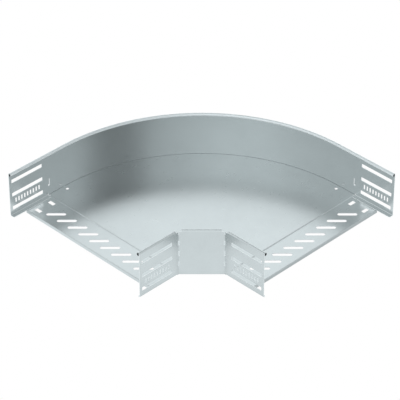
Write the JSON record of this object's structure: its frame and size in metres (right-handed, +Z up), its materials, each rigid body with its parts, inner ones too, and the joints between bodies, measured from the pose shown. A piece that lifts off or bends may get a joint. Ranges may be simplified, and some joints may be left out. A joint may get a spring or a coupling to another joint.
{
  "type": "cable tray bend",
  "caption": "Horizontal right-angle cable tray bend in galvanised sheet: flat base, curved outer wall, folded inner wall, rolled rims and slotted ends for bolting to trays.",
  "frame": {"origin": "middle of the part's plan, on the floor that it lies on", "axes": "+Z up; the open ends face -X and -Y, and the curved outer wall lies to +X and +Y"},
  "size_m": [0.445, 0.445, 0.0892],
  "materials": {
    "galvanised_sheet": "strip-galvanised sheet steel, satin"
  },
  "bodies": {
    "root": {"base_plate": "galvanised_sheet", "outer_wall": "galvanised_sheet", "inner_wall": "galvanised_sheet"}
  },
  "joints": []
}
